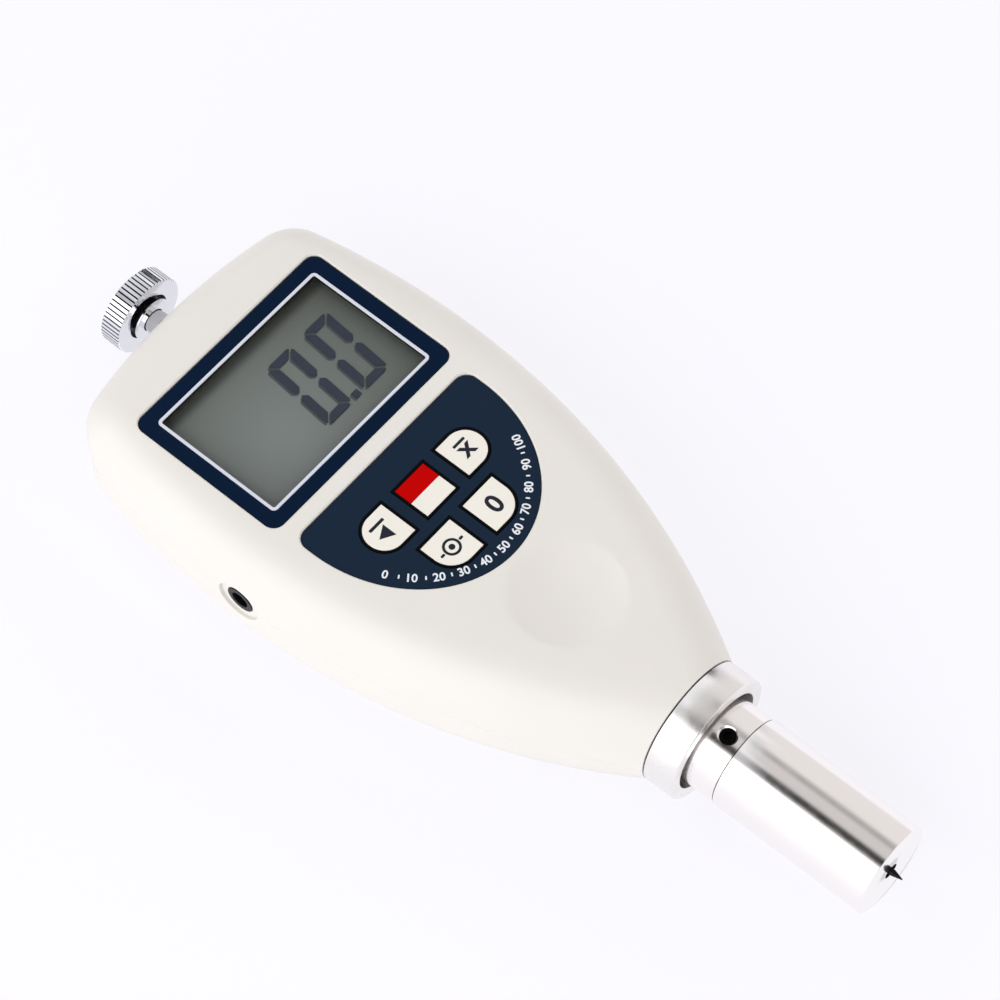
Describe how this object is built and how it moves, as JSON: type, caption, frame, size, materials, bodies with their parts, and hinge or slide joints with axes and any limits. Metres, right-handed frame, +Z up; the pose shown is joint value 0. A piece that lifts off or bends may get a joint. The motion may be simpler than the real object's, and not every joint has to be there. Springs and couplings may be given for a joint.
{
  "type": "digital durometer",
  "caption": "Handheld digital hardness tester: a tapered case with a display and a keypad, a sprung needle in a round presser foot, a sliding battery cover and a knurled thumb screw.",
  "frame": {"origin": "middle of the whole object's box, on the plane that its back lies on", "axes": "+Y from the needle to the thumb screw, along the barrel; +Z up, out of the display; +X to the right for someone who reads the display"},
  "size_m": [0.067, 0.1798, 0.028],
  "materials": {
    "warm_white_plastic": "fine satin texture",
    "dark_blue_panel": "printed under a clear skin",
    "key_frame_black": "matt",
    "key_pale": "satin",
    "key_red": "satin",
    "silver_trim": "bright line",
    "clear_window": "clear",
    "lcd_grey_green": "smooth",
    "lcd_dark": "smooth",
    "black_plastic": "moulded",
    "white_inner_plastic": "moulded",
    "board_green": "solder mask",
    "satin_steel": "turned, satin",
    "hard_steel": "ground",
    "spring_steel": "drawn wire",
    "black_steel": "black oxide",
    "zinc_steel": "zinc plated",
    "satin_aluminium": "brushed",
    "bright_chrome": "polished plating",
    "brass": "turned",
    "copper_wire": "lacquered wire",
    "soft_iron": "plain",
    "dark_rubber": "matt",
    "cell_sleeve": "plain sleeve"
  },
  "bodies": {
    "case": {"adjuster_lock_ring": "brass", "battery_cells": "cell_sleeve", "battery_contacts": "zinc_steel", "board_chips": "black_plastic", "board_screws": "zinc_steel", "case_screws": "zinc_steel", "clamp_screws": "zinc_steel", "coil_bobbin": "white_inner_plastic", "coil_winding": "copper_wire", "display_bezel": "dark_blue_panel", "display_trim": "silver_trim", "display_window": "clear_window", "front_bush": "brass", "front_case": "warm_white_plastic", "guide_tube": "brass", "jack_socket": "black_plastic", "keypad_panel": "dark_blue_panel", "lcd_glass": "lcd_grey_green", "lcd_holder": "white_inner_plastic", "lcd_segments": "lcd_dark", "lock_ring": "satin_steel", "main_board": "board_green", "main_spring": "spring_steel", "nose_collar": "satin_aluminium", "nose_gasket": "dark_rubber", "presser_foot": "satin_steel", "rear_bush": "brass", "rear_case": "warm_white_plastic", "sensor_clamp": "white_inner_plastic", "sensor_shield": "soft_iron", "set_screw": "black_steel", "side_plug": "warm_white_plastic", "spring_adjuster": "brass", "tact_switches": "black_plastic", "top_insert": "brass", "tube_nut": "brass", "zebra_strips": "dark_rubber"},
    "plunger": {"indenter": "hard_steel", "indenter_collet": "satin_steel", "sensor_core": "soft_iron", "spindle": "satin_steel"},
    "power_key": {"power_key": "key_pale", "power_key_band": "key_red", "power_key_frame": "key_frame_black"},
    "max_key": {"max_key": "key_pale", "max_key_frame": "key_frame_black"},
    "average_key": {"average_key": "key_pale", "average_key_frame": "key_frame_black"},
    "calibrate_key": {"calibrate_key": "key_pale", "calibrate_key_frame": "key_frame_black"},
    "zero_key": {"zero_key": "key_pale", "zero_key_frame": "key_frame_black"},
    "battery_cover": {"battery_cover": "warm_white_plastic"},
    "thumb_washer": {"thumb_washer": "bright_chrome"},
    "thumb_screw": {"thumb_knob": "bright_chrome", "thumb_shaft": "bright_chrome"}
  },
  "joints": [
    {"name": "needle_travel", "type": "slide", "parent": "case", "child": "plunger", "axis": [0, 1, 0], "range_m": [0, 0.0025], "stiffness_N_per_m": 17800, "deforming": ["main_spring"]},
    {"name": "power_key_press", "type": "slide", "parent": "case", "child": "power_key", "axis": [0, 0, -1], "range_m": [0, 0.0005], "stiffness_N_per_m": 400},
    {"name": "max_key_press", "type": "slide", "parent": "case", "child": "max_key", "axis": [0, 0, -1], "range_m": [0, 0.0005], "stiffness_N_per_m": 400},
    {"name": "average_key_press", "type": "slide", "parent": "case", "child": "average_key", "axis": [0, 0, -1], "range_m": [0, 0.0005], "stiffness_N_per_m": 400},
    {"name": "calibrate_key_press", "type": "slide", "parent": "case", "child": "calibrate_key", "axis": [0, 0, -1], "range_m": [0, 0.0005], "stiffness_N_per_m": 400},
    {"name": "zero_key_press", "type": "slide", "parent": "case", "child": "zero_key", "axis": [0, 0, -1], "range_m": [0, 0.0005], "stiffness_N_per_m": 400},
    {"name": "cover_slide", "type": "slide", "parent": "case", "child": "battery_cover", "axis": [0, 1, 0], "range_m": [0, 0.062]},
    {"name": "thumb_advance", "type": "slide", "parent": "case", "child": "thumb_washer", "axis": [0, 1, 0], "range_m": [-0.00325, 0.00325]},
    {"name": "thumb_turn", "type": "hinge", "parent": "thumb_washer", "child": "thumb_screw", "pos_m": [0, 0.0874, 0.014], "axis": [0, 1, 0], "range_deg": [-1440, 1440]}
  ],
  "couplings": [
    {"joint": "thumb_advance", "follows": "thumb_turn", "m_per_rad": 0.00012732}
  ]
}
